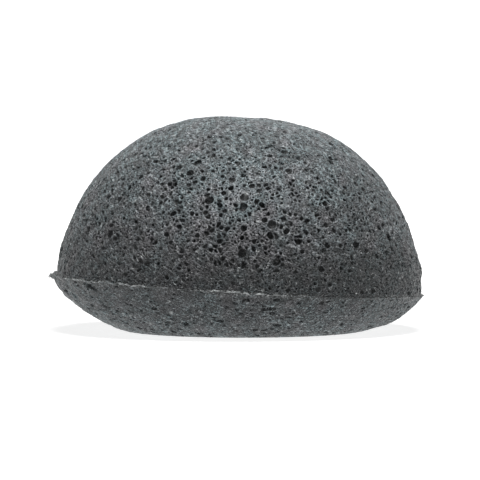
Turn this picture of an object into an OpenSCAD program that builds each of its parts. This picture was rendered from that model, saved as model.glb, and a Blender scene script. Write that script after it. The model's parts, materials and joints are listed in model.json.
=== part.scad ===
// Konjac sponge: a half ball of charcoal foam, cast in a mould of two halves.
// It stands on the flat patch under its low rounded underside.
// The lip of gel round it marks the seam, which climbs from right to left.
// Millimetres, Z up, front towards -Y. The origin is on the floor under the seam's middle.

/* [Dome] */
// Radius of the dome at its widest level
dome_r = 39; // [34:0.5:46]
// Height of the crown above the floor
crown_z = 45.6; // [36:0.2:60]
// Height of the dome's widest level above the floor
widest_z = 10.2; // [9.5:0.1:13]
// How far the dome sits right of the middle, where the mould halves didn't quite meet
dome_shift = 0.4; // [0:0.1:0.4]
// Exponent of the dome's rise: 2 is an ellipse, less draws the flanks in
rise_share = 1.85; // [1.6:0.05:2.4]
// Exponent of the dome's reach: 2 is an ellipse, more flattens the crown
reach_share = 2.4; // [1.8:0.05:3]

/* [Underside] */
// Radius of the flat patch that the sponge rests on
rest_r = 25; // [18:0.5:28]
// Exponent of the underside's curve: 1 is a straight cone, 2 an ellipse
bowl_share = 1.4; // [1.2:0.05:2]

/* [Seam] */
// Height of the seam's middle above the floor
seam_z = 9.7; // [8.5:0.1:11]
// Slope of the seam in degrees, down to the right
seam_tilt = 3.4; // [0:0.1:4]

/* [Lip] */
// How far the lip reaches past the dome's radius
lip_reach = 1; // [0.9:0.1:2]
// Thickness of the lip at its root
lip_t = 1.1; // [0.8:0.1:1.6]
// Thickness of the lip at its torn edge
lip_edge_t = 0.5; // [0.3:0.05:0.7]
// How far the lip hangs over the rim of the underside
lip_overhang = 0.4; // [0.2:0.05:0.4]
// Deepest tear in the lip's edge
lip_tear = 0.3; // [0:0.05:0.35]

/* [Pores] */
// Radius of the smallest open pore that is modelled
pore_min_r = 0.6; // [0.4:0.05:0.8]
// Radius of the largest open pore
pore_max_r = 1.35; // [0.9:0.05:1.5]
// Average distance from one pore to the next on the dome
pore_gap = 5.4; // [5.4:0.1:9]
// Average distance from one pore to the next on the underside
low_pore_gap = 7; // [7:0.1:12]
// Width of the plain band between the pores and the lip
plain_band = 0.8; // [0.6:0.1:2]
// Seed of the pores' scatter
pore_seed = 11; // [1:1:99]

/* [Hidden] */

// The lip is the widest thing, and the rim of the underside stays a little inside it
lip_r = dome_r + lip_reach;
rim_r = lip_r - lip_overhang;
// Half the height that the seam climbs, and its highest and lowest levels
half_climb = lip_r * sin(seam_tilt);
seam_top = seam_z + half_climb;
seam_low = seam_z - half_climb;
// The dome's height above its widest level, and how far it runs down behind the lip
dome_h = crown_z - widest_z;
skirt_h = widest_z - seam_low + lip_t;
// How wide the underside is at the seam's lowest level, as a share of its spread
low_spread_share = bowl_spread_share(seam_low / seam_top);
// This spread and shift let the underside's rim meet the lip at both sides
bowl_spread = 2 * (rim_r - rest_r) / (1 + low_spread_share);
bowl_shift = rest_r + bowl_spread - rim_r;
// Length that is more than any cut needs
overrun = 2 * lip_r;

// Straight steps in the dome's and the underside's outlines, and round the lip
dome_steps = 18;
bowl_steps = 8;
lip_steps = 120;
// The lip is torn where these two counts of waves meet
tear_waves = [7, 11];
// Share of its radius that a pore's centre lies under the skin, on the dome and below
pore_sunk_share = 0.3;
low_pore_sunk_share = -0.25;
// Most that a pore strays from its even place, as a share of the gap between pores
stray_share = 0.18;
golden_angle = 180 * (3 - sqrt(5));
round_sides = 144;
pore_sides = 20;

// Radius of the dome at a height above or below its widest level
function dome_radius(h) =
    dome_r * pow(max(0, 1 - pow(abs(h) / dome_h, rise_share)), 1 / reach_share);

// Outward slope of the dome at that height: the radial part and the upright part
function dome_outward(h) =
    let (across = reach_share / dome_r * pow(dome_radius(h) / dome_r, reach_share - 1),
         up = sign(h) * rise_share / dome_h * pow(abs(h) / dome_h, rise_share - 1))
    [across, up] / norm([across, up]);

// How far the underside has spread at a share of its height
function bowl_spread_share(up) = pow(1 - pow(1 - up, bowl_share), 1 / bowl_share);

// The other way round: how far up the underside is at a share of its spread
function bowl_up_share(spread) = 1 - pow(1 - pow(spread, bowl_share), 1 / bowl_share);

// Outward slope of the underside there: the radial part and the upright part
function bowl_outward(spread, up) =
    let (across = pow(spread, bowl_share - 1) / bowl_spread,
         down = pow(1 - up, bowl_share - 1) / seam_top)
    [across, -down] / norm([across, down]);

// Height of the seam's plane at a bearing and a radius
function seam_height(bearing, r) = seam_z - r * cos(bearing) * tan(seam_tilt);

// Steps that crowd towards the crown, where the outline turns fastest
dome_outline = [for (i = [0:dome_steps])
    let (h = dome_h * sin(90 * i / dome_steps))
    [dome_radius(h), h]];

// Steps that crowd towards the floor
bowl_outline = [for (i = [0:bowl_steps])
    let (up = 1 - cos(90 * i / bowl_steps))
    [rest_r + bowl_spread * bowl_spread_share(up), seam_top * up]];

// The lip's edge keeps its full reach to the front, back and sides, and is torn between
lip_outline = [for (i = [0:lip_steps - 1])
    let (bearing = 360 * i / lip_steps,
         torn = pow(sin(tear_waves[0] * bearing) * cos(tear_waves[1] * bearing), 2),
         r = lip_r - lip_tear * torn * abs(sin(2 * bearing)))
    [r * cos(bearing), r * sin(bearing)]];

// Places its children on the seam's sloping plane
module on_seam()
    translate([0, 0, seam_z])
        rotate([0, seam_tilt, 0])
            children();

// The upper half as the mould gave it, down through the seam
module dome()
    translate([dome_shift, 0, widest_z])
        rotate_extrude($fn = round_sides)
            polygon(concat([[0, -skirt_h], [dome_radius(skirt_h), -skirt_h]], dome_outline));

// The lower half: flat where it rests, curving out to the rim
module bowl()
    translate([bowl_shift, 0, 0])
        rotate_extrude($fn = round_sides)
            polygon(concat([[0, 0]], bowl_outline, [[0, seam_top]]));

// A bubble that the skin cut open, on a body of revolution round the line x = shift
module pore(shift, r, z, outward, bearing, pore_r, sunk_share)
    translate([shift, 0, z])
        rotate([0, 0, bearing])
            translate([r, 0, 0])
                rotate([0, acos(outward.y), 0])
                    translate([0, 0, -sunk_share * pore_r])
                        sphere(r = pore_r, $fn = pore_sides);

// Most pores are small and a few are large
function pore_radius(chance) = pore_min_r + (pore_max_r - pore_min_r) * pow((1 + chance) / 2, 2);

// Lowest level of the dome's pores, clear of the lip, counted from the widest level
function pores_start(bearing) =
    seam_height(bearing, dome_r) + lip_t / 2 + plain_band + pore_max_r - widest_z;

// Highest level of the underside's pores, clear of the lip too
function pores_end(bearing) =
    seam_height(bearing, rim_r) - lip_t / 2 - plain_band - pore_max_r;

// Open pores of the dome, spread evenly by the golden angle and then let stray
module dome_pores() {
    count = round(2 * PI * dome_r * dome_h / pow(pore_gap, 2));
    chance = rands(-1, 1, 3 * count, pore_seed);
    stray = stray_share * pore_gap;
    for (i = [0:count - 1]) {
        even_h = dome_h * (i + 0.5) / count;
        around = max(dome_radius(even_h), pore_gap);
        bearing = i * golden_angle + stray / around * chance[3 * i] * 180 / PI;
        start = pores_start(bearing);
        strayed_h = even_h + stray * chance[3 * i + 1] * dome_radius(even_h) / dome_r;
        h = start + (dome_h - start) * max(0, min(1, strayed_h / dome_h));
        pore(dome_shift, dome_radius(h), widest_z + h, dome_outward(h), bearing,
            pore_radius(chance[3 * i + 2]), pore_sunk_share);
    }
}

// Shallow pores of the underside, between the resting patch and the rim
module bowl_pores() {
    count = round(PI * (pow(rim_r, 2) - pow(rest_r, 2)) / pow(low_pore_gap, 2));
    chance = rands(-1, 1, 2 * count, pore_seed + 1);
    first_spread = (pore_max_r + plain_band) / bowl_spread;
    for (i = [0:count - 1]) {
        bearing = i * golden_angle + stray_share * golden_angle * chance[2 * i];
        last_spread = bowl_spread_share(pores_end(bearing) / seam_top);
        spread = first_spread + (last_spread - first_spread) * (i + 0.5) / count;
        up = bowl_up_share(spread);
        pore(bowl_shift, rest_r + bowl_spread * spread, seam_top * up, bowl_outward(spread, up),
            bearing, pore_radius(chance[2 * i + 1]), low_pore_sunk_share);
    }
}

// The foam: the dome stands on the underside's rim, inside the lip
module sponge_body()
    color("dimgray")
        difference() {
            union() {
                intersection() {
                    dome();
                    on_seam()
                        translate([0, 0, -lip_t / 2])
                            cylinder(r = overrun, h = overrun, $fn = round_sides);
                }
                intersection() {
                    bowl();
                    on_seam()
                        translate([0, 0, -overrun - lip_t / 2])
                            cylinder(r = rim_r, h = overrun, $fn = round_sides);
                }
            }
            dome_pores();
            bowl_pores();
        }

// The lip: it lies on the underside's rim, butts against the dome and thins to its torn edge
module seam_lip()
    color("slategray")
        difference() {
            on_seam()
                intersection() {
                    translate([0, 0, -lip_t / 2])
                        linear_extrude(lip_t)
                            polygon(lip_outline);
                    rotate_extrude($fn = round_sides)
                        polygon([[0, -lip_t / 2], [rim_r, -lip_t / 2], [lip_r, -lip_edge_t / 2],
                            [lip_r, lip_edge_t / 2], [rim_r, lip_t / 2], [0, lip_t / 2]]);
                }
            dome();
        }

sponge_body();
seam_lip();
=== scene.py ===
import bpy
import json
import math
import numpy as np
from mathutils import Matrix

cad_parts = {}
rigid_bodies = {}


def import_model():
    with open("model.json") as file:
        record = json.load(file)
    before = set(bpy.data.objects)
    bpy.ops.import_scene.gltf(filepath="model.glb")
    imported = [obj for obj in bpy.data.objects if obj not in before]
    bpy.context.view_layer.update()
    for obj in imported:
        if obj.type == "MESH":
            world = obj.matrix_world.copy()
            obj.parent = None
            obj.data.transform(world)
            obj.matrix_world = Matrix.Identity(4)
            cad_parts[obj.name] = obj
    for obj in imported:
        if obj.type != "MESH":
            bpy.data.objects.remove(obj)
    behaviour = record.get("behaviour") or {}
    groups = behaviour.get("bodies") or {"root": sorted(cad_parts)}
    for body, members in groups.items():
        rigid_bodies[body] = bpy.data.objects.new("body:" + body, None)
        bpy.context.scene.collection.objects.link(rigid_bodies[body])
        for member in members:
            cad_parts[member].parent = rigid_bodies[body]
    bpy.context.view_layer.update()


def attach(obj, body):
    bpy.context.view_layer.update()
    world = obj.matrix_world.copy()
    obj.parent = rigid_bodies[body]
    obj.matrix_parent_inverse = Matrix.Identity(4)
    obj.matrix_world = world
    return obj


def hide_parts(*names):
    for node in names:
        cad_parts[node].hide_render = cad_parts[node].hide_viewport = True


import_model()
mm = 0.001

# The mould's form in millimetres and degrees, the same sizes as the frame's solids have.
# The ridge is how far the front of the seam bulges up from the mould's plane.
form = {
    "domeR": 39.0, "crownZ": 45.6, "widestZ": 10.2, "domeShift": 0.4, "rise": 1.85, "reach": 2.4,
    "restR": 25.0, "bowlShare": 1.4, "bowlShift": 1.637, "bowlSpread": 16.24,
    "seamZ": 9.7, "seamTilt": 3.4, "seamTop": 12.072, "rimR": 39.65,
    "ridge": 0.62, "ridgeBearing": -75, "ridgeWidth": 68, "ridgeFlat": 4,
}

# How the outlines are stepped before the points are laid along them
steps = {
    "dome": 3000, "crowding": 2.2,  # more than 1 crowds the steps towards the crown
    "skirt": 300, "skirtFrom": 0.01, "skirtTo": 5,  # the outline runs on below the widest level
    "bowl": 2000, "bowlReach": 42, "seamTries": 4,
}

# Whole numbers that turn a bubble's place in the grid into its chances
scatter = {
    "axes": (73856093, 19349663, 83492791), "seedStep": 7919, "seedStart": 17,
    "stirs": ((31, 0x7FB5D329728EA185), (27, 0x81DADEF4BC2DD44D)), "lastShift": 33, "bits": 24,
    "stray": 0.86,  # share of its cell that a bubble's middle strays over
}


def deselectAll():
    for o in bpy.context.view_layer.objects:
        o.select_set(False)


def smoothStep(low, high, x):
    t = np.clip((x - low) / (high - low), 0, 1)
    return t * t * (3 - 2 * t)


def nearBearing(phi, centre, width, flat=2):  # 1 at a bearing in degrees, fading out over that width
    away = (phi - math.radians(centre) + math.pi) % (2 * math.pi) - math.pi
    return np.exp(-(away / math.radians(width)) ** flat)


def atBearings(phi, rows):  # several places round the ring: bearing, width and how much
    return sum(much * nearBearing(phi, bearing, width) for bearing, width, much in rows)


def nearPlace(p, x, z, wide, high):  # 1 at a place as seen from the front, fading out round it
    return np.exp(-((p[:, 0] - x) / wide) ** 2 - ((p[:, 2] - z) / high) ** 2)


def seamLevel(x, phi):  # height of the seam
    plane = form["seamZ"] - x * math.tan(math.radians(form["seamTilt"]))
    ridge = nearBearing(phi, form["ridgeBearing"], form["ridgeWidth"], form["ridgeFlat"])
    return plane + form["ridge"] * ridge


def hashed(cells, seed, count):  # numbers from 0 to 1 for whole-number cells, the same in each run
    c = cells.astype(np.int64).astype(np.uint64)
    h = np.zeros(len(c), np.uint64)
    for axis, prime in enumerate(scatter["axes"]):
        h = h ^ c[:, axis] * np.uint64(prime)
    h = h + np.uint64(seed * scatter["seedStep"] + scatter["seedStart"])
    out = []
    for i in range(count):
        for shift, factor in scatter["stirs"]:
            h = (h ^ (h >> np.uint64(shift))) * np.uint64(factor)
        h = h ^ (h >> np.uint64(scatter["lastShift"]))
        top = h >> np.uint64(64 - scatter["bits"])
        out.append(top.astype(np.float32) / np.float32(2 ** scatter["bits"]))
    return out


# The nearest bubble's middle, its chances, and the distance to the wall between it and the next
def bubbles(p, gap, seed):
    q = (p / gap).astype(np.float32)
    base = np.floor(q)
    best = np.full(len(q), 9.0, np.float32)  # farther than any bubble next door
    second = best.copy()
    near = np.zeros((len(q), 3), np.float32)
    nextTo = near.copy()
    chance = np.zeros((len(q), 4), np.float32)
    for i in (-1, 0, 1):
        for j in (-1, 0, 1):
            for k in (-1, 0, 1):
                cell = base + np.array([i, j, k], np.float32)
                r = hashed(cell, seed, 7)
                middle = cell + 0.5 + scatter["stray"] * (np.stack(r[:3], 1) - 0.5)
                d = np.linalg.norm(q - middle, axis=1)
                closer = d < best
                behind = ~closer & (d < second)
                second[closer] = best[closer]
                nextTo[closer] = near[closer]
                best[closer] = d[closer]
                near[closer] = middle[closer]
                chance[closer] = np.stack(r[3:], 1)[closer]
                second[behind] = d[behind]
                nextTo[behind] = middle[behind]
    across = np.maximum(np.linalg.norm(nextTo - near, axis=1), 1e-3)
    wall = (second ** 2 - best ** 2) / (2 * across) * gap
    return near * gap, chance, wall


# The camera stands a little above the level, far off behind a long lens
look = {
    "lens": 1000.0, "sensor": 36, "distance": 2.8532, "nearest": 0.01,
    "aimX": 0.00075, "aimZ": 0.0193, "above": 3.4,
}


def setCamera():
    tilt = math.radians(look["above"])
    out, up = look["distance"] * math.cos(tilt), look["distance"] * math.sin(tilt)
    bpy.ops.object.camera_add(location=(look["aimX"], -out, look["aimZ"] + up),
                              rotation=(math.pi / 2 - tilt, 0, 0))
    camera = bpy.context.object
    camera.name = "photoCamera"
    camera.data.lens = look["lens"]
    camera.data.sensor_width = look["sensor"]
    camera.data.clip_start = look["nearest"]
    bpy.context.scene.camera = camera


# Soft light from above, a trace from front and back, and a pale floor that throws some back up and glows
# near the object, a fill light from below
studio = {
    "lamps": (  # name, place, what it aims at, size and power
        ("topLight", (0.03, -0.06, 0.62), (0, 0, 0.03), (0.32, 0.26), 3.75),
        ("frontLight", (0.1, -0.65, 0.35), (0, 0, 0.02), (0.5, 0.4), 0.01),
        ("backLight", (-0.1, 0.65, 0.35), (0, 0, 0.02), (0.5, 0.4), 0.01),
    ),
    "room": 0.01, "floorSize": 12, "floorTone": 0.5, "floorRoughness": 0.9, "floorSpecular": 0.1,
    "light": (0.034, 0.052, 0.93, 0.03),  # the floor's own glow that lights the object from below, how it falls off: from, to, near and far
    "glow": (0.08, 0.40, 0.84, 1.2),  # the same for what the camera sees
}


def addSoftbox(name, place, aim, size, power):
    bpy.ops.object.light_add(type="AREA", location=place)
    lamp = bpy.context.object
    lamp.name = name
    lamp.data.shape = "RECTANGLE"
    lamp.data.size, lamp.data.size_y = size
    lamp.data.energy = power
    away = [a - b for a, b in zip(place, aim)]
    flat = math.hypot(away[0], away[1])
    lamp.rotation_euler = (math.atan2(flat, away[2]), 0, math.atan2(away[1], away[0]) + math.pi / 2)


def newMaterial(name):
    material = bpy.data.materials.new(name)
    material.use_nodes = True
    material.node_tree.nodes.clear()
    return material, material.node_tree


def addNode(tree, kind, **values):
    node = tree.nodes.new(kind)
    for key, value in values.items():
        setattr(node, key, value)
    return node


def addMath(tree, operation, first, second, clamp=False):
    node = addNode(tree, "ShaderNodeMath", operation=operation, use_clamp=clamp)
    for socket, value in zip(node.inputs, (first, second)):
        if isinstance(value, bpy.types.NodeSocket):
            tree.links.new(value, socket)
        else:
            socket.default_value = value
    return node.outputs[0]


def addTimes(tree, first, second, clamp=False):
    return addMath(tree, "MULTIPLY", first, second, clamp)


def addRest(tree, value):  # what is left of one
    return addMath(tree, "SUBTRACT", 1.0, value)


def addRamp(tree, value, low, high, toLow=0.0, toHigh=1.0):
    node = addNode(tree, "ShaderNodeMapRange", interpolation_type="SMOOTHSTEP")
    tree.links.new(value, node.inputs["Value"])
    for name, number in (("From Min", low), ("From Max", high), ("To Min", toLow), ("To Max", toHigh)):
        node.inputs[name].default_value = number
    return node.outputs["Result"]


def addMix(tree, share, first, second):
    node = addNode(tree, "ShaderNodeMix", data_type="RGBA")
    tree.links.new(share, node.inputs[0])
    for socket, value in ((node.inputs[6], first), (node.inputs[7], second)):
        if isinstance(value, bpy.types.NodeSocket):
            tree.links.new(value, socket)
        else:
            socket.default_value = (*value, 1)
    return node.outputs[2]


def addVoronoi(tree, place, feature, gap):
    node = addNode(tree, "ShaderNodeTexVoronoi", feature=feature)
    node.inputs["Scale"].default_value = 1 / (gap * mm)
    tree.links.new(place, node.inputs["Vector"])
    return node


def addNoise(tree, place, gap, detail=2.0):
    node = addNode(tree, "ShaderNodeTexNoise")
    node.inputs["Scale"].default_value = 1 / (gap * mm)
    node.inputs["Detail"].default_value = detail
    tree.links.new(place, node.inputs["Vector"])
    return node.outputs["Fac"]


def addSight(tree):  # 1 for the rays that see the white background: camera, glossy and transmission
    path = addNode(tree, "ShaderNodeLightPath").outputs
    either = addMath(tree, "MAXIMUM", path["Is Camera Ray"], path["Is Glossy Ray"])
    return addMath(tree, "MAXIMUM", either, path["Is Transmission Ray"])


def setStudio():
    scene = bpy.context.scene
    scene.view_settings.view_transform = "Standard"
    for lamp in studio["lamps"]:
        addSoftbox(*lamp)
    world = bpy.data.worlds.new("paleRoom")
    scene.world = world
    world.use_nodes = True
    tree = world.node_tree
    tree.nodes.clear()
    room = addNode(tree, "ShaderNodeBackground")
    room.inputs["Strength"].default_value = studio["room"]
    backdrop = addNode(tree, "ShaderNodeBackground")
    for white in (room, backdrop):
        white.inputs["Color"].default_value = (1, 1, 1, 1)
    pick = addNode(tree, "ShaderNodeMixShader")
    for socket, source in zip(pick.inputs, (addSight(tree), room.outputs[0], backdrop.outputs[0])):
        tree.links.new(source, socket)
    tree.links.new(pick.outputs[0], addNode(tree, "ShaderNodeOutputWorld").inputs[0])


def layFloor():
    bpy.ops.mesh.primitive_plane_add(size=studio["floorSize"], location=(0, 0, 0))
    floor = bpy.context.object
    floor.name = "paleFloor"
    material, tree = newMaterial("glowingPaper")
    shader = addNode(tree, "ShaderNodeBsdfPrincipled")
    shader.inputs["Base Color"].default_value = (studio["floorTone"],) * 3 + (1,)
    shader.inputs["Roughness"].default_value = studio["floorRoughness"]
    shader.inputs["Specular IOR Level"].default_value = studio["floorSpecular"]
    shader.inputs["Emission Color"].default_value = (1, 1, 1, 1)
    away = addNode(tree, "ShaderNodeVectorMath", operation="LENGTH")
    tree.links.new(addNode(tree, "ShaderNodeTexCoord").outputs["Object"], away.inputs[0])
    light = addRamp(tree, away.outputs["Value"], *studio["light"])
    glow = addRamp(tree, away.outputs["Value"], *studio["glow"])
    sight = addSight(tree)
    unseen = addTimes(tree, addRest(tree, sight), light)
    strength = addMath(tree, "ADD", addTimes(tree, sight, glow), unseen)
    tree.links.new(strength, shader.inputs["Emission Strength"])
    tree.links.new(shader.outputs[0], addNode(tree, "ShaderNodeOutputMaterial").inputs[0])
    floor.data.materials.append(material)


setCamera()
setStudio()
layFloor()
print("camera, light and floor are set")

# The foam body. Sizes in millimetres, shares of one, bearings in degrees
foam = {
    "firstSplits": 11, "halvings": 5, "quickHalvings": 3,  # cuts of the first cube, then halvings
    "domeRun": 55, "bowlRun": 42,  # rough lengths from the seam to the crown and to the patch's middle
    "ledge": 0.035,  # share of the underside's points that turn in under the seam
    "heart": 14.0,  # height of the point that the lumps push away from
    "lumpsFull": 2,  # height from which the lumps are whole, as the resting patch has none
    "lumps": (  # how the casting departs from its mould: where, how wide and how far outwards
        ((37, 0, 29), 15, -0.55), ((-36, 0, 29), 12, -0.30), ((-8, -4, 46), 11, 0.35),
        ((18, 0, 44), 9, -0.25), ((6, 0, 46), 8, -0.35), ((-31, -2, 3), 9, -0.22),
        ((35, -2, 4.5), 8, 0.95), ((39.4, -1, 9.4), 2.1, -1.1), ((39.2, -1, 12.4), 2.2, 0.5),
        ((-38.6, 0, 12.4), 2.6, -0.35),
    ),
    "rough": ((10, 31, 0.07), (4, 32, 0.05)),  # wavelength, seed and how much
    "sideRough": ((2.2, 35, 0.05),), "sides": (22, 34),  # more of it on the outline, between these x
    "roughFull": 1.5,  # height from which it is whole
    "marks": (  # grooves on the front, from x, z to x, z, with how wide and how deep
        (-31.6, 11.0, -29.9, 10.1, 0.24, 0.9), (6.1, 40.2, 7.6, 40.7, 0.18, 0.6),
        (7.6, 40.7, 9.2, 39.7, 0.18, 0.6), (-28.5, 6.7, -26.8, 6.0, 0.20, 0.5),
        (-35.3, 8.8, -34.2, 7.8, 0.20, 0.5),
    ),
    # inside the grooves the colour is painted fully dark, a painted shade
    "markDark": 0.1, "markEdge": 0.3,
    "glintsAndFlecks": (  # painted highlights of wet glint on the front, and pale flecks lower down: x, z, radius and how bright
        (2.0, 30.9, 0.36, 1.0), (3.5, 26.8, 0.26, 0.8), (4.4, 25.3, 0.22, 0.8),
        (-22.4, 4.6, 0.28, 0.4), (-18.3, 3.0, 0.28, 0.4), (-13.8, 5.8, 0.28, 0.5),
        (5.5, 11.0, 0.35, 0.5),
    ),
    # The pores, large to small: the gap between their middles, their least and greatest radius, how deep,
    # how soft the edge, the share that are open over all, on the dome, where airy and below, and how dark
    # the hole is painted, a painted shade
    "large": {
        "seed": 3, "gap": 2.3, "low": 0.55, "high": 1.12, "depth": 1.3, "edge": 0.22,
        "open": 0.5, "openDome": 0.13, "openAiry": 0.85, "openLow": 0.75, "dark": 0.80, "pale": 0.45,
    },
    "middle": {
        "seed": 5, "gap": 1.30, "low": 0.42, "high": 0.85, "depth": 0.8, "edge": 0.18,
        "open": 0.85, "openDome": 0.45, "openAiry": 0.85, "openLow": 0.34, "dark": 0.83, "pale": 0.38,
    },
    "small": {
        "seed": 8, "gap": 0.67, "low": 0.35, "high": 0.55, "depth": 0.4, "edge": 0.12,
        "open": 1.0, "openDome": 1.0, "openAiry": 0, "openLow": 0.7, "dark": 0.93, "pale": 0.45,
    },
    "airy": (1, 27, 28, 12),  # where the pores are most open: x, z, how wide and how high
    "foot": (20, 12), "footShut": 0.35,  # the dome's foot, where fewer of the larger pores open
    "top": (37, 44), "topCalm": 0.35, "calm": 0.68,  # the crown and the rest, where the painted shade in the holes is lighter
    "domeSkin": (0.1, 0.9), "bowlSkin": (1.3, 1.9),  # how far from the seam the pores start
    "guard": (-0.16, -0.04),  # how far off a larger pore's edge the smaller ones stop
    "shade": (0.1, 0.8),  # the chances between which a pore goes from pale to dark
    "rim": 0.06, "rimWidth": 0.1,  # the raised ring round a pore
    "warp": 0.13,  # how far the cells are swirled, by rows of axis, rate, other axis, sway and its rate
    "swirl": ((1, 1.9, 2, 1.7, 1.1), (2, 2.1, 0, 1.5, 0.9), (0, 1.7, 1, 1.9, 1.3)),
    "lowFlat": 1.9, "lowSink": 0.7, "lowDark": 0.66,  # the underside's pores: flatter, shallower, and with a paler painted shade in their holes
    "grain": 0.95, "grainBelly": 0.15, "belly": (34, 26), "grainLow": 0.84,
}

# What all pores share: the wall that is left, and how their sizes and depths are spread
poreShape = {"wall": 0.14, "mostlySmall": 1.6, "shut": 0.4, "shallowest": 0.45}


def domeRadius(h):
    share = 1 - (np.abs(h) / (form["crownZ"] - form["widestZ"])) ** form["rise"]
    return form["domeR"] * np.maximum(share, 0) ** (1 / form["reach"])


def bowlHeight(r):
    spread = np.clip((r - form["restR"]) / form["bowlSpread"], 0, 1)
    return form["seamTop"] * (1 - (1 - spread ** form["bowlShare"]) ** (1 / form["bowlShare"]))


def alongOutline(r, z):  # running length of an outline
    return np.concatenate([[0], np.cumsum(np.hypot(np.diff(r), np.diff(z)))])


def startBall(name, splits, halvings):  # a cube, split evenly, that the form is then pressed from
    deselectAll()
    bpy.ops.mesh.primitive_cube_add(size=2, location=(0, 0, 0))
    ball = bpy.context.object
    ball.name = ball.data.name = name
    bpy.ops.object.mode_set(mode="EDIT")
    bpy.ops.mesh.select_all(action="SELECT")
    bpy.ops.mesh.subdivide(number_cuts=splits)
    bpy.ops.object.mode_set(mode="OBJECT")
    halve = ball.modifiers.new("halve", "SUBSURF")
    halve.subdivision_type = "SIMPLE"
    halve.levels = halve.render_levels = halvings
    bpy.ops.object.modifier_apply(modifier="halve")
    return ball


def readPoints(piece):
    flat = np.empty(len(piece.data.vertices) * 3, np.float32)
    piece.data.vertices.foreach_get("co", flat)
    return flat.reshape(-1, 3).astype(np.float64)


def writePoints(piece, points):
    piece.data.vertices.foreach_set("co", points.astype(np.float32).ravel())
    piece.data.update()


def readNormals(piece):
    flat = np.empty(len(piece.data.vertices) * 3, np.float32)
    piece.data.vertex_normals.foreach_get("vector", flat)
    return flat.reshape(-1, 3).astype(np.float64)


def shadeSmooth(piece):
    piece.data.polygons.foreach_set("use_smooth", [True] * len(piece.data.polygons))


def pressDome(share, phi):  # points from the crown, at share 0, down to the seam, at share 1
    crowded = np.linspace(0, 1, steps["dome"]) ** steps["crowding"]
    rows = np.concatenate([(form["crownZ"] - form["widestZ"]) * (1 - crowded),
                           -np.linspace(steps["skirtFrom"], steps["skirtTo"], steps["skirt"])])
    radii = domeRadius(rows)
    run = alongOutline(radii, rows)
    seamH = np.zeros_like(phi)
    for i in range(steps["seamTries"]):
        seamH = seamLevel(form["domeShift"] + domeRadius(seamH) * np.cos(phi), phi) - form["widestZ"]
    gone = share * np.interp(-seamH, -rows, run)
    h = np.interp(gone, run, rows)
    r = np.interp(gone, run, radii)
    return np.stack([form["domeShift"] + r * np.cos(phi), r * np.sin(phi), form["widestZ"] + h], 1)


def pressBowl(share, phi, dome):  # points from the seam in to the middle of the resting patch
    shift = form["bowlShift"]
    rimR = -shift * np.cos(phi) + np.sqrt(form["rimR"] ** 2 - (shift * np.sin(phi)) ** 2)
    across = np.linspace(0, steps["bowlReach"], steps["bowl"])
    run = alongOutline(across, bowlHeight(across))
    inward = np.clip((share - foam["ledge"]) / (1 - foam["ledge"]), 0, 1)
    r = np.interp(np.interp(rimR, across, run) * (1 - inward), run, across)
    rimZ = seamLevel(shift + rimR * np.cos(phi), phi)
    outside = np.clip((r - form["restR"]) / (rimR - form["restR"]), 0, 1)
    z = bowlHeight(r) + (rimZ - bowlHeight(rimR)) * outside ** 2
    bowl = np.stack([shift + r * np.cos(phi), r * np.sin(phi), z], 1)
    step = np.clip(share / foam["ledge"], 0, 1)[:, None]
    return dome * (1 - step) + bowl * step


# From the cube's points to the sponge's, in millimetres, and how far each is from the seam
def pressForm(cube):
    face = np.tan(cube * math.pi / 4)
    way = face / np.linalg.norm(face, axis=1, keepdims=True)
    theta = np.arccos(np.clip(way[:, 2], -1, 1))
    phi = np.arctan2(way[:, 1], way[:, 0])
    down = theta / (math.pi / 2)  # 0 at the crown, 1 at the seam, 2 under the middle
    upper = theta <= math.pi / 2 + 1e-6
    dome = pressDome(np.clip(down, 0, 1), phi)
    out = np.where(upper[:, None], dome, pressBowl(np.clip(down - 1, 0, 1), phi, dome))
    fromSeam = np.where(upper, (1 - down) * foam["domeRun"], (down - 1) * foam["bowlRun"])
    outward = out - np.array([0, 0, foam["heart"]])
    outward /= np.linalg.norm(outward, axis=1, keepdims=True)
    swell = sum(far * np.exp(-((out - np.array(place)) ** 2).sum(1) / width ** 2)
                for place, width, far in foam["lumps"])
    out += outward * (swell * np.clip(out[:, 2] / foam["lumpsFull"], 0, 1))[:, None]
    return out, upper, fromSeam, phi, theta


# Where the two discs lie on the map that the finish is baked to: middle and radius
bakeMap = {"name": "OFBake", "dome": (0.315, 0.31), "bowl": (0.73, 0.262)}


def layFlatMap(piece, theta, phi, upper):  # the dome and the underside as two discs, for baking
    if not piece.data.uv_layers:
        piece.data.uv_layers.new(name=bakeMap["name"])
    layer = piece.data.uv_layers[0]
    layer.name = bakeMap["name"]
    corner = np.empty(len(piece.data.loops), np.int32)
    piece.data.loops.foreach_get("vertex_index", corner)
    onDome = upper[corner].reshape(-1, 4).all(axis=1).repeat(4)
    middle, radius = (np.where(onDome, a, b) for a, b in zip(bakeMap["dome"], bakeMap["bowl"]))
    out = np.where(onDome, theta[corner], math.pi - theta[corner]) / (math.pi / 2) * radius
    turned = np.where(onDome, 1, -1)
    turn = phi[corner]
    flat = np.stack([middle + out * np.cos(turn), middle + out * np.sin(turn) * turned], 1)
    layer.data.foreach_set("uv", flat.astype(np.float32).ravel())


# How the waves that make a roughness differ: their count and rates, and their heights round a ring
ripple = {"count": 14, "rates": (0.6, 1.5), "heights": (0.5, 1), "power": 0.3}


def waves(p, gap, seed):  # a soft roughness of about that wavelength
    dice = np.random.default_rng(seed)
    total = np.zeros(len(p))
    for i in range(ripple["count"]):
        way = dice.normal(size=3)
        way *= 2 * math.pi / gap * dice.uniform(*ripple["rates"]) / np.linalg.norm(way)
        total += np.cos(p @ way + dice.uniform(0, 2 * math.pi))
    return total / math.sqrt(ripple["count"] / 2)


def layered(base, rows):  # soft roughnesses on top of each other: wavelength, seed and how much
    return sum(much * waves(base, gap, seed) for gap, seed, much in rows)


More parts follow.
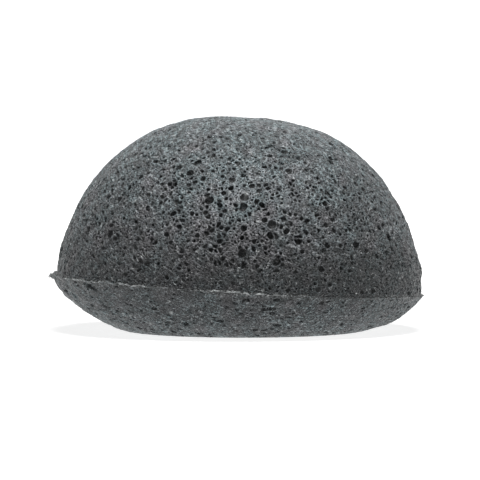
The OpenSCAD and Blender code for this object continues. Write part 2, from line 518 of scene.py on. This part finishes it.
def ringNoise(phi, low, high, seed):  # an even roughness round the ring, between two counts of waves
    dice = np.random.default_rng(seed)
    total = np.zeros_like(phi)
    for k in range(low, high + 1):
        total += np.cos(k * phi + dice.uniform(0, 2 * math.pi)) * dice.uniform(*ripple["heights"])
    return total / math.sqrt((high - low + 1) * ripple["power"])


# How far each point sinks, how far in from the pore's edge it is, and the pore's chance
def openPores(p, n, kind, opening, blocked):
    middle, chance, wall = bubbles(p, kind["gap"], kind["seed"])
    size = kind["low"] + (kind["high"] - kind["low"]) * chance[:, 0] ** poreShape["mostlySmall"]
    away = p - middle
    up = np.einsum("ij,ij->i", away, n)
    dist = np.linalg.norm(away, axis=1)
    side = np.maximum(dist ** 2 - up ** 2, 0)
    halfWall = poreShape["wall"] / 2
    isOpen = chance[:, 1] < opening
    inside = np.where(isOpen, np.minimum(size - dist, wall - halfWall), -halfWall - wall)
    inside = inside - poreShape["shut"] * blocked
    deepest = poreShape["shallowest"] + (1 - poreShape["shallowest"]) * chance[:, 2]
    sink = np.clip(up + np.sqrt(np.maximum(size ** 2 - side, 0)), 0, kind["depth"] * deepest)
    return sink * smoothStep(0, kind["edge"], inside), inside, chance[:, 2]


def alongMark(p, mark):  # how near each point of the front is to a groove's line, from 0 to 1
    x, z, toX, toZ, width, depth = mark
    run = np.array([toX - x, toZ - z])
    flat = p[:, [0, 2]] - np.array([x, z])
    share = np.clip(flat @ run / (run @ run), 0, 1)
    away = np.hypot(*(flat - share[:, None] * run).T)
    return np.exp(-(away / width) ** 4) * (p[:, 1] < 0)


def paintPoints(piece, layers):  # values that the finish reads, one for each point
    for name, values in layers.items():
        layer = piece.data.attributes.new(name, "FLOAT", "POINT")
        layer.data.foreach_set("value", values.astype(np.float32))


# The pale crumbs of gel along the seam, brightened as a painted highlight on the front: where, by bearing,
# width and how many, and their roughness
crumbs = {
    "places": ((-86, 17, 1.5), (-142, 22, 1.5), (-28, 16, 1.0)), "film": 0.07,
    "dome": ((0.8, 71, 1),), "domeBare": 0.5, "domeZone": 0.45,
    "bowl": ((0.65, 72, 0.7),), "bowlBare": 0.15, "bowlZone": 1.5,
}

# How pale the walls round the pores are painted, pale gel and a painted sheen, more on the dome than below,
# and the places on the front where the painted sheen is more
shine = {
    "plain": 0.52, "waves": ((0.85, 33, 0.32), (2.0, 34, 0.20)), "most": 1.6, "least": 0.10,
    "places": ((0.3, 27.8, 4.5, 3, 0.5), (0, 31, 11, 8, 0.3)),
    "dome": 0.9, "airy": 0.6, "low": 0.66,
}

# Painted shade and patches: the dome's foot, belly and flanks are painted darker as shade, and the underside
# gets darker patches of tone at random
paintedShadeAndPatches = {
    "foot": 0.29, "footFront": 0.26, "frontX": 12, "frontWide": 24, "footFades": (23, 13), "clear": (0, 1.2),
    "belly": 0.16, "bellyFades": (33, 24), "flanks": 0.24, "flankFades": (16, 28), "flankTops": (42, 32),
    "below": 0.10, "patches": ((4.5, 51, 0.11), (2.2, 52, 0.06)), "patchMost": 0.5,
}

# Where the grey is neutral and not teal: the middle of the front, and blots
warmth = {"plain": 0.16, "middle": (-3, 19, 25, 9), "more": 0.85, "blots": ((9, 41, 0.19), (4.5, 42, 0.19))}


def warpCells(base):  # a slow swirl, so that the bubbles don't lie in rows
    rows = [np.sin(base[:, a] * rate + sway * np.sin(base[:, b] * slow))
            for a, rate, b, sway, slow in foam["swirl"]]
    return foam["warp"] * np.stack(rows, 1)


def shineWalls(base, upper, airy):  # how pale the walls round the pores are: pale gel and a painted sheen
    glance = np.clip(shine["plain"] + layered(base, shine["waves"]), 0, shine["most"]) ** 2
    for x, z, wide, high, more in shine["places"]:
        glance += more * nearPlace(base, x, z, wide, high) * (base[:, 1] < 0)
    return (shine["least"] + glance) * np.where(upper, shine["dome"] + shine["airy"] * airy, shine["low"])


# Three sizes of pore, each cut where the larger ones left a wall
def openBody(base, n, upper, fromSeam, airy):
    foot = 1 - foam["footShut"] * smoothStep(*foam["foot"], base[:, 2]) * upper
    top = 1 - foam["topCalm"] * smoothStep(*foam["top"], base[:, 2])
    skin = np.where(upper, smoothStep(*foam["domeSkin"], fromSeam), smoothStep(*foam["bowlSkin"], fromSeam))
    flatten = np.where(upper, 1.0, foam["lowFlat"])[:, None] * np.array([0, 0, 1]) + np.array([1, 1, 0])
    bright = shineWalls(base, upper, airy)
    warp = warpCells(base)
    sunk, dark, light = np.zeros((3, len(base)))
    edge = np.full(len(base), -1.0)
    for name in ("large", "middle", "small"):
        kind = foam[name]
        opening = np.where(upper, kind["openDome"] + kind["openAiry"] * airy, kind["openLow"])
        calm = 1
        if name != "small":
            opening = opening * foot
            calm = (foam["calm"] + (1 - foam["calm"]) * airy) * top
        place = (base + warp - n * sunk[:, None]) * flatten
        blocked = np.maximum(1 - skin, smoothStep(*foam["guard"], edge))
        sink, inside, chance = openPores(place, n, kind, kind["open"] * opening, blocked)
        sunk += sink * np.where(upper, 1, foam["lowSink"])
        owned = inside > edge
        edge = np.where(owned, inside, edge)
        # how dark the hole is painted: a painted shade in it
        shade = kind["dark"] * (kind["pale"] + (1 - kind["pale"]) * smoothStep(*foam["shade"], chance))
        dark = np.where(owned, shade * np.where(upper, calm, foam["lowDark"]), dark)
        light = np.where(owned, bright, light)
    return sunk, edge, dark, light


def lightSeam(base, upper, fromSeam, phi):  # pale crumbs along the seam, partly a painted highlight, and the painted highlights of wet glint with pale flecks
    onDome = np.exp(-(fromSeam / crumbs["domeZone"]) ** 4) * upper
    onBowl = np.exp(-(fromSeam / crumbs["bowlZone"]) ** 2) * ~upper
    grit = np.where(upper, layered(base, crumbs["dome"]) - crumbs["domeBare"],
                    layered(base, crumbs["bowl"]) - crumbs["bowlBare"])
    paleAndGlint = (onDome + onBowl) * atBearings(phi, crumbs["places"]) * (crumbs["film"] + np.clip(grit, 0, 1))
    # painted highlights of wet glint on the front, and pale flecks below
    for x, z, r, strength in foam["glintsAndFlecks"]:
        paleAndGlint = np.maximum(paleAndGlint, strength * nearPlace(base, x, z, r, r) * (base[:, 1] < 0))
    return paleAndGlint


# painted shade on the dome's foot, belly and flanks, and darker patches of tone at random on the underside
def paintShadeAndPatches(base, upper, fromSeam, airy):
    x, z = base[:, 0], base[:, 2]
    foot = np.exp(-((x - paintedShadeAndPatches["frontX"]) / paintedShadeAndPatches["frontWide"]) ** 2) * (base[:, 1] < 0)
    foot = paintedShadeAndPatches["foot"] + paintedShadeAndPatches["footFront"] * foot
    foot = foot * smoothStep(*paintedShadeAndPatches["footFades"], z) * smoothStep(*paintedShadeAndPatches["clear"], fromSeam)
    belly = paintedShadeAndPatches["belly"] * airy * smoothStep(*paintedShadeAndPatches["bellyFades"], z)
    flanks = smoothStep(*paintedShadeAndPatches["flankFades"], np.abs(x)) * smoothStep(*paintedShadeAndPatches["flankTops"], z)
    patches = np.clip(paintedShadeAndPatches["below"] + layered(base, paintedShadeAndPatches["patches"]), 0, paintedShadeAndPatches["patchMost"])
    return np.where(upper, foot + belly + paintedShadeAndPatches["flanks"] * flanks, patches)


def warmBody(base):
    middle = nearPlace(base, *warmth["middle"]) * (base[:, 1] < 0)
    return np.clip(warmth["plain"] + warmth["more"] * middle + layered(base, warmth["blots"]), 0, 1)


def makeBody():
    halvings = foam["halvings"]
    body = startBall("foamBody", foam["firstSplits"], halvings)
    base, upper, fromSeam, phi, theta = pressForm(readPoints(body))
    writePoints(body, base * mm)
    n = readNormals(body)
    rough = layered(base, foam["rough"])
    rough += layered(base, foam["sideRough"]) * smoothStep(*foam["sides"], np.abs(base[:, 0]))
    base += n * rough[:, None] * np.clip(base[:, 2:3] / foam["roughFull"], 0, 1)
    print("body: the form is pressed,", len(base), "points")
    airy = nearPlace(base, *foam["airy"]) * upper
    sunk, edge, dark, light = openBody(base, n, upper, fromSeam, airy)
    for mark in foam["marks"]:
        near = alongMark(base, mark)
        sunk += near * mark[-1]
        # painted shade: the grooves are painted fully dark
        dark = np.where(near > foam["markDark"], 1.0, dark)
        edge = np.maximum(edge, foam["markEdge"] * (near - 0.5))
    grain = foam["grain"] - foam["grainBelly"] * airy * smoothStep(*foam["belly"], base[:, 2])
    paintPoints(body, {
        "poreEdge": edge, "poreDark": dark, "wallLight": light,
        "paleAndGlint": lightSeam(base, upper, fromSeam, phi),
        "paintedShadeAndPatches": paintShadeAndPatches(base, upper, fromSeam, airy),
        "warm": warmBody(base),
        "grain": np.where(upper, grain, foam["grainLow"]),
    })
    rim = np.exp(-(edge / foam["rimWidth"]) ** 2) * light
    base += n * (foam["rim"] * rim - sunk)[:, None]
    base[:, 2] = np.maximum(base[:, 2], 0)
    writePoints(body, base * mm)
    shadeSmooth(body)
    layFlatMap(body, theta, phi, upper)
    print("body: the pores are open")
    return body


# The finest cells: sizes in millimetres, shares of a cell, and where each noise starts and is full
finest = {
    "gap": 0.56, "wall": 0.13, "pit": 0.24, "shut": 0.2, "open": 0.6,
    "patchGap": 0.8, "patch": (0.36, 0.62, 0.25, 1), "gritGap": 0.34, "grit": (0.38, 0.62),
    "glintGap": 0.7, "glint": (0.59, 0.68), "frayGap": 0.5,
}


def makeGrainGroup():  # the finest cells of the gel: their walls, their pits, which the finish paints dark as shade, a height, and a mask where it paints wet glint as highlight
    group = bpy.data.node_groups.new("gelGrain", "ShaderNodeTree")
    for name in ("Walls", "Pits", "Height", "Grit", "Glint", "Fray"):
        group.interface.new_socket(name=name, in_out="OUTPUT", socket_type="NodeSocketFloat")
    place = addNode(group, "ShaderNodeTexCoord").outputs["Object"]
    fromEdge = addVoronoi(group, place, "DISTANCE_TO_EDGE", finest["gap"]).outputs["Distance"]
    cell = addNode(group, "ShaderNodeSeparateColor")
    group.links.new(addVoronoi(group, place, "F1", finest["gap"]).outputs["Color"], cell.inputs[0])
    hollow = addRamp(group, fromEdge, finest["wall"] / 2, finest["pit"])
    pits = addTimes(group, hollow, addRamp(group, cell.outputs["Red"], finest["shut"], finest["open"]))
    patches = addRamp(group, addNoise(group, place, finest["patchGap"]), *finest["patch"])
    walls = addTimes(group, addRamp(group, fromEdge, 0.0, finest["wall"], 1, 0), patches)
    end = addNode(group, "NodeGroupOutput").inputs
    for name, value in (
        ("Walls", walls), ("Pits", pits), ("Height", addMath(group, "SUBTRACT", walls, hollow)),
        ("Grit", addRamp(group, addNoise(group, place, finest["gritGap"], 0.0), *finest["grit"])),
        ("Glint", addRamp(group, addNoise(group, place, finest["glintGap"], 1.0), *finest["glint"])),
        ("Fray", addMath(group, "SUBTRACT", addNoise(group, place, finest["frayGap"], 1.0), 0.5)),
    ):
        group.links.new(value, end[name])
    return group


# The foam's finish. The pit colour is painted shade in the holes and pits, the wall colour is pale gel with
# a painted sheen, and the speck colour is pale crumbs and fibres and painted highlights of wet glint
foamFinish = {
    "teal": (0.0145, 0.0195, 0.0208), "neutral": (0.018, 0.018, 0.0196), "pit": (0.003, 0.004, 0.004),
    "wall": (0.383, 0.468, 0.492), "warmWall": (0.437, 0.436, 0.462), "speck": (0.85, 0.88, 0.88),
    "roughness": 0.45, "walls": 0.92, "pits": 1.0, "grit": 0.8,
}

# How a pore is drawn, in the foam and in the lip: distances from its edge in millimetres, then shares
poreLook = {
    "fray": 0.24, "ringOut": (-0.11, -0.02), "ringIn": (0.0, 0.08, 1, 0), "hole": (0.0, 0.10),
    "film": 0.25, "specks": 0.6, "wetter": 0.25, "bump": 0.8, "bumpDepth": 0.16, "specular": 0.5,
}


def attributeOf(tree, name):
    return addNode(tree, "ShaderNodeAttribute", attribute_name=name).outputs["Fac"]


def finishFoam(piece, name, finish):
    material, tree = newMaterial(name)
    grain = addNode(tree, "ShaderNodeGroup", node_tree=grainGroup).outputs
    warm = attributeOf(tree, "warm")
    ground = addMix(tree, warm, finish["teal"], finish["neutral"])
    wall = addMix(tree, warm, finish["wall"], finish["warmWall"])
    # the finest cells: pale walls, pits painted dark as a painted shade, and a fine grit
    share = attributeOf(tree, "grain")
    walls = addTimes(tree, addTimes(tree, grain["Walls"], finish["walls"]), share, clamp=True)
    pits = addTimes(tree, addTimes(tree, grain["Pits"], finish["pits"]), share, clamp=True)
    grit = addTimes(tree, addRest(tree, grain["Grit"]), finish["grit"])
    color = addMix(tree, walls, ground, wall)
    color = addMix(tree, pits, color, finish["pit"])
    color = addMix(tree, grit, color, finish["pit"])
    # the open pores, each with a pale ring round its hole, partly a painted sheen, and the hole painted dark
    # as a painted shade
    fray = addTimes(tree, grain["Fray"], poreLook["fray"])
    edge = addMath(tree, "ADD", attributeOf(tree, "poreEdge"), fray)
    inner = addRamp(tree, edge, *poreLook["ringIn"])
    ring = addTimes(tree, addRamp(tree, edge, *poreLook["ringOut"]), inner)
    ring = addTimes(tree, ring, attributeOf(tree, "wallLight"), clamp=True)
    hole = addRamp(tree, edge, *poreLook["hole"])
    hole = addTimes(tree, hole, attributeOf(tree, "poreDark"), clamp=True)
    hole = addTimes(tree, hole, addRest(tree, addTimes(tree, grain["Walls"], poreLook["film"])))
    color = addMix(tree, ring, color, wall)
    color = addMix(tree, hole, color, finish["pit"])
    # painted shade on the dome and darker patches below, pale crumbs and fibres, partly a painted highlight,
    # and white specks that are painted highlights of wet glint
    color = addMix(tree, attributeOf(tree, "paintedShadeAndPatches"), color, finish["pit"])
    color = addMix(tree, attributeOf(tree, "paleAndGlint"), color, finish["speck"])
    speck = addTimes(tree, grain["Glint"], addMath(tree, "ADD", walls, ring), clamp=True)
    speck = addTimes(tree, addTimes(tree, speck, share), poreLook["specks"], clamp=True)
    color = addMix(tree, speck, color, finish["speck"])
    shader = addNode(tree, "ShaderNodeBsdfPrincipled")
    shader.inputs["Specular IOR Level"].default_value = poreLook["specular"]
    tree.links.new(color, shader.inputs["Base Color"])
    wetter = addTimes(tree, grain["Glint"], poreLook["wetter"])
    tree.links.new(addMath(tree, "SUBTRACT", finish["roughness"], wetter), shader.inputs["Roughness"])
    bump = addNode(tree, "ShaderNodeBump")
    bump.inputs["Strength"].default_value = poreLook["bump"]
    bump.inputs["Distance"].default_value = poreLook["bumpDepth"] * mm
    tree.links.new(grain["Height"], bump.inputs["Height"])
    tree.links.new(bump.outputs[0], shader.inputs["Normal"])
    tree.links.new(shader.outputs[0], addNode(tree, "ShaderNodeOutputMaterial").inputs[0])
    piece.data.materials.clear()
    piece.data.materials.append(material)


grainGroup = makeGrainGroup()
body = makeBody()
finishFoam(body, "charcoalFoam", foamFinish)
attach(body, "root")
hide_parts("sponge_body")


# The seam's lip of denser gel, torn along its edge. Millimetres, bearings in degrees.
# A row of waves is how much, from how many round the ring to how many, and the seed.
# A row of places is the bearing, the width and how much.
lip = {
    "around": 1400, "across": 20, "rootR": 37.9, "edgeR": 39.70, "rootT": 0.80, "edgeT": 0.24, "drop": 0.10,
    "thinning": 1.5, "roundness": 0.6,
    "tears": ((0.16, 40, 150, 5),), "tearMost": 0.128, "wander": ((0.10, 4, 18, 6), (0.08, 180, 420, 16)),
    "levels": ((0.10, 5, 22, 9), (0.10, 40, 130, 10), (0.06, 160, 400, 17)),
    "uneven": ((0.25, 25, 90, 7),), "flutter": ((0.12, 60, 200, 12),), "grimeWaves": ((0.4, 120, 420, 15),),
    "reaches": ((-40, 30, -0.45), (-112, 30, -0.30), (180, 9, 0.28), (0, 8, 0.25)),
    "drops": ((180, 20, 0.15),), "thicker": ((180, 16, 0.22),), "flatter": ((180, 30, 0.95),),
    "rootUnder": ((180, 30, 1.6),), "under": ((0, 16, 0.8),),
    "pores": {"seed": 21, "gap": 0.72, "low": 0.28, "high": 0.6, "depth": 0.40, "edge": 0.1},
    # how dark its pores' holes are painted, a painted shade, and how pale their rings, partly a painted
    # sheen
    "open": 0.8, "poresFrom": (0.2, 0.4), "dark": 0.8, "shine": 0.5, "crumbsFrom": (0.1, 0.3),
    "grime": 0.15, "grimeFrom": (0.2, 0.6), "grimeMost": 0.85,
    "warm": 0.3, "blots": ((9, 41, 0.3),), "grain": 0.6,
}

# The fibres that stand out of its torn edge
fibre = {
    "count": 170, "seed": 77, "r": 0.045, "taper": 0.35, "leftEach": 5, "leftSpread": 0.10, "sunk": 0.15,
    "level": (-0.25, 0.1), "reach": (0.4, 1.5), "out": (0.15, 0.6), "along": (0.5, 1), "lift": (-0.4, 0.25),
    "curl": (0.1, 0.6), "curlUp": (-0.4, 0.4), "curled": 0.6, "paleAndGlint": (0.1, 0.3), "warm": 0.3, "grain": 0.5,
    "longOne": {
        "start": (-31.3, -24.8, 11.6), "way": (0.78, -0.14, 0.61), "reach": 1.3, "paleAndGlint": 0.6, "thick": 2.2,
    },
}


def ringRough(phi, rows):
    return sum(much * ringNoise(phi, low, high, seed) for much, low, high, seed in rows)


def lipEdge(phi):
    torn = np.minimum(ringRough(phi, lip["tears"]), lip["tearMost"]) + ringRough(phi, lip["wander"])
    return lip["edgeR"] + torn + atBearings(phi, lip["reaches"])


def lipLevel(x, phi):
    return seamLevel(x, phi) - lip["drop"] - atBearings(phi, lip["drops"]) + ringRough(phi, lip["levels"])


def makeLip():
    deselectAll()
    bpy.ops.mesh.primitive_torus_add(major_segments=lip["around"], minor_segments=lip["across"],
                                     major_radius=1, minor_radius=0.25, location=(0, 0, 0))
    ring = bpy.context.object
    ring.name = ring.data.name = "seamLip"
    p = readPoints(ring)
    phi = np.arctan2(p[:, 1], p[:, 0])
    turn = np.arctan2(p[:, 2], np.hypot(p[:, 0], p[:, 1]) - 1)
    share = (1 + np.cos(turn)) / 2  # 0 at the root, 1 at the torn edge
    r = lip["rootR"] + (lipEdge(phi) - lip["rootR"]) * share
    edgeT = lip["edgeT"] + atBearings(phi, lip["thicker"])
    thick = lip["rootT"] + (edgeT - lip["rootT"]) * share ** lip["thinning"]
    thick = thick * (1 + ringRough(phi, lip["uneven"]) * share)
    under = 1 + atBearings(phi, lip["rootUnder"]) * (1 - share) + atBearings(phi, lip["under"])
    over = 1 - atBearings(phi, lip["flatter"]) * np.sqrt(1 - share)
    bulge = np.sign(np.sin(turn)) * np.abs(np.sin(turn)) ** lip["roundness"]
    up = bulge * thick / 2 * np.where(np.sin(turn) < 0, under, over)
    x = r * np.cos(phi)
    z = lipLevel(x, phi) + up + ringRough(phi, lip["flutter"]) * share
    base = np.stack([x, r * np.sin(phi), z], 1)
    writePoints(ring, base * mm)
    n = readNormals(ring)
    blocked = 1 - smoothStep(*lip["poresFrom"], share)
    sink, inside, chance = openPores(base, n, lip["pores"], lip["open"], blocked)
    writePoints(ring, (base + n * -sink[:, None]) * mm)
    grit = crumbs["film"] + np.clip(layered(base, crumbs["dome"]) - crumbs["domeBare"], 0, 1)
    grime = lip["grime"] + ringRough(phi, lip["grimeWaves"]) * smoothStep(*lip["grimeFrom"], share)
    plain = np.ones(len(base))
    paintPoints(ring, {
        # painted shade in the pores' holes, pale rings partly a painted sheen, and pale crumbs partly a
        # painted highlight on the front
        "poreEdge": inside, "poreDark": lip["dark"] * plain, "wallLight": lip["shine"] * plain,
        "paleAndGlint": grit * smoothStep(*lip["crumbsFrom"], share) * atBearings(phi, crumbs["places"]),
        "paintedShadeAndPatches": np.clip(grime, 0, lip["grimeMost"]),
        "warm": np.clip(lip["warm"] + layered(base, lip["blots"]), 0, 1),
        "grain": lip["grain"] * plain,
    })
    shadeSmooth(ring)
    return ring


def startFibre():  # one tapered hair along Z, four-sided and cut into short lengths
    deselectAll()
    bpy.ops.mesh.primitive_cone_add(vertices=4, radius1=1.0, radius2=fibre["taper"], depth=1,
                                    location=(0, 0, 0.5))
    hair = bpy.context.object
    bpy.ops.object.mode_set(mode="EDIT")
    bpy.ops.mesh.select_all(action="DESELECT")
    bpy.ops.object.mode_set(mode="OBJECT")
    for edge in hair.data.edges:
        a, b = (hair.data.vertices[i].co.z for i in edge.vertices)
        edge.select = abs(a - b) > 0.5
    bpy.ops.object.mode_set(mode="EDIT")
    bpy.ops.mesh.select_mode(type="EDGE")
    bpy.ops.mesh.subdivide(number_cuts=3)
    bpy.ops.object.mode_set(mode="OBJECT")
    bpy.ops.object.transform_apply(location=True, rotation=True, scale=True)
    return hair


def bendFibre(shape, start, way, curl, reach, thick):  # the hair's points, from its root along its way
    side = np.cross(way, [0, 0, 1.0])
    side /= np.linalg.norm(side)
    third = np.cross(side, way)
    t = shape[:, 2:3]
    middle = start + way * t * reach + curl * (t ** 2) * reach * fibre["curled"]
    return middle + (side * shape[:, 0:1] + third * shape[:, 1:2]) * fibre["r"] * thick


def addFibres(ring):
    dice = np.random.default_rng(fibre["seed"])
    hair = startFibre()
    shape = readPoints(hair)
    hairs = []
    for i in range(fibre["count"]):
        if i % fibre["leftEach"] == 0:
            bearing = math.pi + dice.normal(0, fibre["leftSpread"])
        else:
            bearing = dice.uniform(-math.pi, math.pi)
        phi = np.array([bearing])
        r = lipEdge(phi)[0] - fibre["sunk"]
        x = r * math.cos(bearing)
        z = lipLevel(np.array([x]), phi)[0] + dice.uniform(*fibre["level"])
        start = np.array([x, r * math.sin(bearing), z])
        outward = np.array([math.cos(bearing), math.sin(bearing), 0])
        along = np.array([-math.sin(bearing), math.cos(bearing), 0]) * (1 if dice.random() < 0.5 else -1)
        reach = dice.uniform(*fibre["reach"])
        way = outward * dice.uniform(*fibre["out"]) + along * dice.uniform(*fibre["along"])
        way += np.array([0, 0, dice.uniform(*fibre["lift"])])
        way /= np.linalg.norm(way)
        curl = -outward * dice.uniform(*fibre["curl"]) + np.array([0, 0, dice.uniform(*fibre["curlUp"])])
        paleAndGlint, thick = dice.uniform(*fibre["paleAndGlint"]), 1.0
        if i == 0:  # the one long hair at the front
            longOne = fibre["longOne"]
            start, way, curl = np.array(longOne["start"]), np.array(longOne["way"]), np.zeros(3)
            reach, paleAndGlint, thick = longOne["reach"], longOne["paleAndGlint"], longOne["thick"]
        copy = hair.copy()
        copy.data = hair.data.copy()
        bpy.context.collection.objects.link(copy)
        writePoints(copy, bendFibre(shape, start, way, curl, reach, thick) * mm)
        plain = np.ones(len(shape))
        paintPoints(copy, {
            "poreEdge": -plain, "poreDark": 0 * plain, "wallLight": 0 * plain, "paintedShadeAndPatches": 0 * plain,
            "paleAndGlint": paleAndGlint * plain, "warm": fibre["warm"] * plain, "grain": fibre["grain"] * plain,
        })
        hairs.append(copy)
    bpy.data.objects.remove(hair)
    deselectAll()
    for o in hairs:
        o.select_set(True)
    ring.select_set(True)
    bpy.context.view_layer.objects.active = ring
    bpy.ops.object.join()


# The lip's finish. The pit colour is painted shade in the holes and pits, the wall colour is pale gel with a
# painted sheen, and the speck colour is pale crumbs and fibres and painted highlights of wet glint
lipFinish = {
    "teal": (0.036, 0.047, 0.049), "neutral": (0.043, 0.043, 0.046), "pit": (0.004, 0.005, 0.005),
    "wall": (0.42, 0.50, 0.515), "warmWall": (0.475, 0.465, 0.49), "speck": (0.85, 0.88, 0.88),
    "roughness": 0.5, "walls": 0.9, "pits": 0.95, "grit": 0.75,
}

ring = makeLip()
addFibres(ring)
finishFoam(ring, "seamGel", lipFinish)
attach(ring, "root")
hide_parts("seam_lip")
print("lip: the torn edge and its fibres are made")
